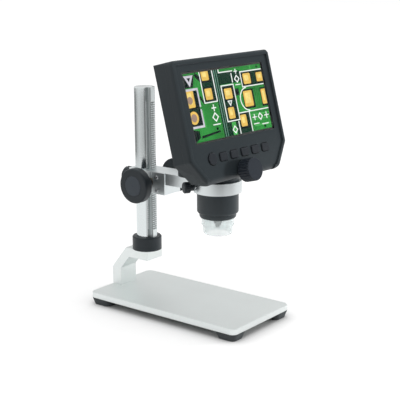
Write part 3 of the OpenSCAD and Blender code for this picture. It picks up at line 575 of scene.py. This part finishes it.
def printed_lines():
    """White outlines of the parts, with plain marks beside them."""
    outlines = [bar(18.4, 0, 19.3, 24.2), bar(33.4, 0, 34.3, 24.2), bar(18.4, 24.2, 34.3, 25.1)]
    outlines += box_line(41.0, 13.0, 56.9, 42.8)
    outlines += [bar(41.2, 0, 42.1, 2.2), bar(41.2, 2.2, 58.4, 3.1), bar(67.2, 4.0, 95.04, 4.9),
                 bar(67.2, 4.9, 68.1, 16.4), bar(67.2, 16.4, 95.04, 17.3), bar(56.9, 36.8, 95.04, 37.7),
                 bar(69.2, 37.7, 70.1, 53.86), bar(56.0, 4.2, 56.9, 12.0), bar(54.0, 43.4, 54.9, 53.86)]
    outlines += half_ring(71.4, 27.05, 9.75)
    marks = triangle(48.6, 28.0, 2.7, width=0.7)
    marks += diamond(62.4, 9.6, 3.4) + diamond(28.0, 36.8, 3.9)
    marks += diamond(48.4, 49.6, 3.4) + diamond(82.6, 43.0, 3.3)
    marks += cross(28.0, 29.4, 2.7) + cross(62.4, 3.4, 2.0, width=0.8)
    marks += cross(75.2, 42.8, 2.6) + cross(90.8, 42.8, 2.8)
    marks += [bar(23.6, 42.2, 32.4, 43.1), bar(59.4, 13.9, 65.6, 14.7), bar(72.8, 47.9, 79.6, 48.8),
              bar(83.4, 49.2, 91.4, 50.1)]
    return outlines + marks


# From the bottom layer up
PICTURE_LAYERS = [
    ("dark", tint(3, 50, 32), dark_fields),
    ("stripes", tint(112, 160, 140), stripes),
    ("tracks", tint(74, 176, 84), tracks),
    ("shadows", tint(4, 24, 22), shadows),
    ("gold", tint(236, 196, 96), gold_pads),
    ("shine", tint(248, 222, 134), pad_shine),
    ("vias", tint(164, 138, 122), via_holes),
    ("bracket", tint(206, 204, 214), pale_bracket),
    ("white", tint(240, 246, 242), printed_lines),
]


# ---- The screen ----

def to_object(name, bm, material):
    """A mesh object in one material."""
    mesh = bpy.data.meshes.new(name)
    bm.to_mesh(mesh)
    bm.free()
    mesh.materials.append(material)
    made = bpy.data.objects.new(name, mesh)
    bpy.context.scene.collection.objects.link(made)
    return made


def screen_piece(name, bm, material):
    """A piece of the screen, riding on the head."""
    bmesh.ops.remove_doubles(bm, verts=bm.verts, dist=1e-7)
    bmesh.ops.recalc_face_normals(bm, faces=bm.faces)
    piece = to_object(name, bm, material)
    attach(piece, "head")
    return piece


def lit_finish(name, colour, size=0.004, drift=0.5):
    """A part of the picture: it glows in its own colour, which drifts a little."""
    material = finish(name, grey(0.01), grey(0.01), roughness=0.5, depth=0.0, Specular_IOR_Level=0.0,
                      Emission_Strength=1.0)
    tree = material.node_tree
    tone_inputs = {"Colour": colour, "Edge Colour": colour, "Size": size, "Colour Drift": drift}
    tone = add(tree, "Group", node_tree=TONE, inputs=tone_inputs)
    tree.links.new(tone.outputs["Colour"], tree.nodes["Principled BSDF"].inputs["Emission Color"])
    return material


def panel_with_pocket(material):
    """The display panel: a black border round the picture's shallow pocket."""
    turn = HEAD.inverted()
    corners = [turn @ v.co / MM for v in NODES["lcd_panel"].data.vertices]
    low, high = (Vector([pick(c[i] for c in corners) for i in range(3)]) for pick in (min, max))
    half_w, half_h = PICTURE_W / 2, PICTURE_H / 2
    bm = bmesh.new()

    def loop(x0, x1, y0, y1, height):
        places = ((x0, y0), (x1, y0), (x1, y1), (x0, y1))
        return [bm.verts.new(on_face(x, y, height)) for x, y in places]

    loops = [loop(low.x, high.x, low.y, high.y, low.z), loop(low.x, high.x, low.y, high.y, high.z),
             loop(-half_w, half_w, -half_h, half_h, high.z), loop(-half_w, half_w, -half_h, half_h, POCKET)]
    bm.faces.new(loops[0][::-1])
    bm.faces.new(loops[-1])
    for a, b in zip(loops, loops[1:]):
        for k in range(4):
            bm.faces.new((a[k], a[(k + 1) % 4], b[(k + 1) % 4], b[k]))
    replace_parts(screen_piece("screen_panel", bm, material), "lcd_panel")


def lit_picture():
    """The picture in the panel's pocket: a green field with thin plates over it."""
    bm = bmesh.new()
    plate(bm, bar(0, 0, PICTURE_W, PICTURE_H), POCKET, FIELD_TOP)
    screen_piece("picture_field", bm, lit_finish("picture_field", tint(44, 140, 58), size=0.02, drift=1.4))
    for level, (name, colour, outlines) in enumerate(PICTURE_LAYERS, 1):
        bm = bmesh.new()
        for outline in outlines():
            plate(bm, outline, FIELD_TOP, FIELD_TOP + level * LAYER_STEP)
        name = "picture_" + name
        screen_piece(name, bm, lit_finish(name, colour))


# ---- Studio ----

def studio_world():
    """A sky that shows white, lights matt surfaces softly, and is nearly white in shiny ones."""
    world = bpy.data.worlds.new("studio")
    bpy.context.scene.world = world
    world.use_nodes = True
    tree = world.node_tree
    background = tree.nodes["Background"]
    background.inputs["Color"].default_value = grey(1.0)
    matt_level, mirrored_level = 0.22, 0.95
    path = add(tree, "LightPath").outputs
    level = maths(tree, "MULTIPLY_ADD", path["Is Glossy Ray"], mirrored_level - matt_level, matt_level)
    seen = maths(tree, "MAXIMUM", path["Is Camera Ray"], path["Is Transmission Ray"])
    tree.links.new(maths(tree, "MAXIMUM", level, seen), background.inputs["Strength"])


def floor():
    """A pale floor that shows white under level light and keeps the real shadow, with painted shadow added
    where its glow is dimmed.
    """
    half_side = 4.0
    mirrored_share = 0.9
    shadow_reach = 0.1
    covered, clear, clear_glow = 0.26, 0.97, 0.64
    material, tree = new_material("floor")
    shader = tree.nodes["Principled BSDF"]
    shader.inputs["Base Color"].default_value = grey(0.6)
    shader.inputs["Roughness"].default_value = 0.9
    shader.inputs["Specular IOR Level"].default_value = 0.0
    shader.inputs["Emission Color"].default_value = grey(1.0)
    # Painted shadow: the glow dims where ambient occlusion finds the floor covered, on top of the real
    # shadow.
    openness = add(tree, "AmbientOcclusion", {"Distance": shadow_reach}, samples=16).outputs["AO"]
    glow_inputs = {"Value": openness, "From Min": covered, "From Max": clear, "To Max": clear_glow}
    glow = add(tree, "MapRange", glow_inputs)
    path = add(tree, "LightPath").outputs
    mirrored = maths(tree, "MULTIPLY", path["Is Glossy Ray"], mirrored_share)
    direct = maths(tree, "MAXIMUM", path["Is Camera Ray"], path["Is Transmission Ray"])
    seen = maths(tree, "MAXIMUM", mirrored, direct)
    tree.links.new(maths(tree, "MULTIPLY", seen, glow.outputs[0]), shader.inputs["Emission Strength"])
    bm = bmesh.new()
    bmesh.ops.create_grid(bm, x_segments=1, y_segments=1, size=half_side)
    to_object("floor", bm, material)


def glow_material(name):
    material, tree = new_material(name)
    tree.nodes.remove(tree.nodes["Principled BSDF"])
    glow = add(tree, "Emission")
    tree.links.new(glow.outputs[0], tree.nodes["Material Output"].inputs["Surface"])
    return material, glow.inputs


def mirror_card(name, bm, material):
    """A card of the studio that only mirrors show."""
    card = to_object(name, bm, material)
    for kind in ("camera", "diffuse", "transmission", "volume_scatter", "shadow"):
        setattr(card, "visible_" + kind, False)


def upright_card(name, middle, across, sides, heights, material):
    """A flat mirror card over a point of the floor: its reach to each side of it, and its heights."""
    (left, right), (low, high) = sides, heights
    corners = [(left, low), (right, low), (right, high), (left, high)]
    bm = bmesh.new()
    bm.faces.new([bm.verts.new(Vector(middle) + Vector(across) * s + UP * z) for s, z in corners])
    mirror_card(name, bm, material)


def back_card():
    """A grey card behind on the right, which the flat tops mirror."""
    material, glow = glow_material("grey_card")
    glow["Color"].default_value = grey(0.73)
    upright_card("grey_card", middle=(0.46, 0.36, 0), across=(0.6, -0.8, 0), sides=(-0.35, 0.3),
                 heights=(0.0, 0.5), material=material)


def dark_card():
    """A dim card to the front right, lighter towards its top, which the head's face mirrors."""
    low, dim_up_to, high = 0.145, 0.2, 0.34
    dim_level, top_level = 0.02, 0.7
    material, glow = glow_material("dim_card")
    tree = material.node_tree
    height = add(tree, "SeparateXYZ", {0: add(tree, "NewGeometry").outputs["Position"]}).outputs["Z"]
    level = add(tree, "MapRange", {
        "Value": height, "From Min": dim_up_to, "From Max": high, "To Min": dim_level, "To Max": top_level,
    })
    tree.links.new(level.outputs[0], glow["Strength"])
    upright_card("dim_card", middle=(0.24, -0.22, 0), across=(0.6, 0.8, 0), sides=(-0.25, 0.18),
                 heights=(low, high), material=material)


# Cards of the wall round the column: degrees round from the front, and the level there
WALL_CARDS = [(-180, 0.2), (-163, 0.22), (-156, 0.44), (-143, 0.5), (-132, 0.62), (-112, 0.7), (-95, 0.63),
              (-78, 0.56), (-59, 0.48), (-51, 0.25), (-46, 0.0), (-19, 0.0), (-12, 0.35), (8, 0.4),
              (24, 0.9), (70, 0.9), (86, 0.66), (112, 0.64), (135, 0.62), (160, 0.45)]


def wall_material(middle):
    """Levels that change round the wall, over a pale strip along its foot."""
    strip_level, strip_top, cards_from = 0.8, 0.088, 0.094
    material, glow = glow_material("reflection_cards")
    tree = material.node_tree
    place = add(tree, "NewGeometry").outputs["Position"]
    offset = add(tree, "VectorMath", {0: place, 1: (middle.x, middle.y, 0.0)}, operation="SUBTRACT")
    parts = add(tree, "SeparateXYZ", {0: offset.outputs[0]}).outputs
    forward = maths(tree, "MULTIPLY", parts["Y"], -1.0)
    degrees = maths(tree, "DEGREES", maths(tree, "ARCTAN2", parts["X"], forward))
    cards = add(tree, "ValToRGB", {"Fac": maths(tree, "MULTIPLY_ADD", degrees, 1 / 360, 0.5)})
    fill_ramp(cards, [(angle / 360 + 0.5, level) for angle, level in WALL_CARDS], grey)
    strip = add(tree, "MapRange", {
        "Value": parts["Z"], "From Min": strip_top, "From Max": cards_from, "To Min": 1.0, "To Max": 0.0,
    })
    mix_inputs = {"Factor": strip.outputs[0], MIX_A: cards.outputs["Color"], MIX_B: grey(strip_level)}
    level = add(tree, "Mix", mix_inputs, data_type="RGBA", blend_type="LIGHTEN")
    tree.links.new(level.outputs[MIX_OUT], glow["Color"])
    return material


def reflection_wall():
    """A ring of light and dark cards round the column, which polished metal mirrors."""
    radius, low, high = 0.2, 0.07, 0.165
    steps = 120
    column_low, column_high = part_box("column")
    middle = (column_low + column_high) / 2
    bm = bmesh.new()
    posts = []
    for k in range(steps):
        angle = 2 * math.pi * k / steps
        foot = (middle.x + radius * math.cos(angle), middle.y + radius * math.sin(angle))
        posts.append([bm.verts.new((*foot, z)) for z in (low, high)])
    for a, b in zip(posts, posts[1:] + posts[:1]):
        bm.faces.new((a[0], b[0], b[1], a[1]))
    mirror_card("reflection_wall", bm, wall_material(middle))


def new_lamp(name, kind, strength):
    """A lamp that shows in no mirror."""
    light = bpy.data.lights.new(name, kind)
    light.energy = strength
    lamp = bpy.data.objects.new(name, light)
    lamp.visible_glossy = False
    bpy.context.scene.collection.objects.link(lamp)
    return lamp


def top_light():
    """Wide even light from the sky, a little from the left."""
    direction, spread = Vector((-0.25, 0.1, 1.0)), 100
    lamp = new_lamp("top_light", "SUN", strength=1.5)
    lamp.data.angle = math.radians(spread)
    lamp.rotation_euler = direction.to_track_quat("Z", "Y").to_euler()


def right_light(aim):
    """A soft light low on the right, which casts the focus knob's shadow on the face."""
    lamp = new_lamp("right_light", "AREA", strength=25.0)
    lamp.data.shape = "DISK"
    lamp.data.size = 0.25
    lamp.location = (1.5, -1.35, 0.35)
    lamp.rotation_euler = (aim - lamp.location).to_track_quat("-Z", "Y").to_euler()
    lamp.visible_transmission = False


def studio():
    studio_world()
    floor()
    reflection_wall()
    dark_card()
    back_card()
    top_light()
    right_light(aim=(CAD_BOX[0] + CAD_BOX[1]) / 2)


# The eye stands in front and to the left, a little higher than the head
EYE = Vector((-0.6690, -0.5411, 0.3119))
AZIMUTH, ELEVATION, ROLL = (math.radians(a) for a in (-51.76, 13.94, -0.33))
# In millimetres
FILM_WIDTH, LENS = 36.0, 93.97


def camera():
    back = Vector((math.sin(AZIMUTH) * math.cos(ELEVATION), -math.cos(AZIMUTH) * math.cos(ELEVATION),
                   math.sin(ELEVATION)))
    right = UP.cross(back).normalized()
    level_up = back.cross(right)
    across = right * math.cos(ROLL) + level_up * math.sin(ROLL)
    upward = level_up * math.cos(ROLL) - right * math.sin(ROLL)
    data = bpy.data.cameras.new("camera")
    data.sensor_width = FILM_WIDTH
    data.lens = LENS
    data.clip_start = 0.01
    eye = bpy.data.objects.new("camera", data)
    eye.matrix_world = Matrix.Translation(EYE) @ Matrix((across, upward, back)).transposed().to_4x4()
    bpy.context.scene.collection.objects.link(eye)
    bpy.context.scene.camera = eye


camera()
studio()
finishes = dress_nodes()
panel_with_pocket(finishes["screen_picture"])
lit_picture()

bpy.context.scene.view_settings.view_transform = "Standard"
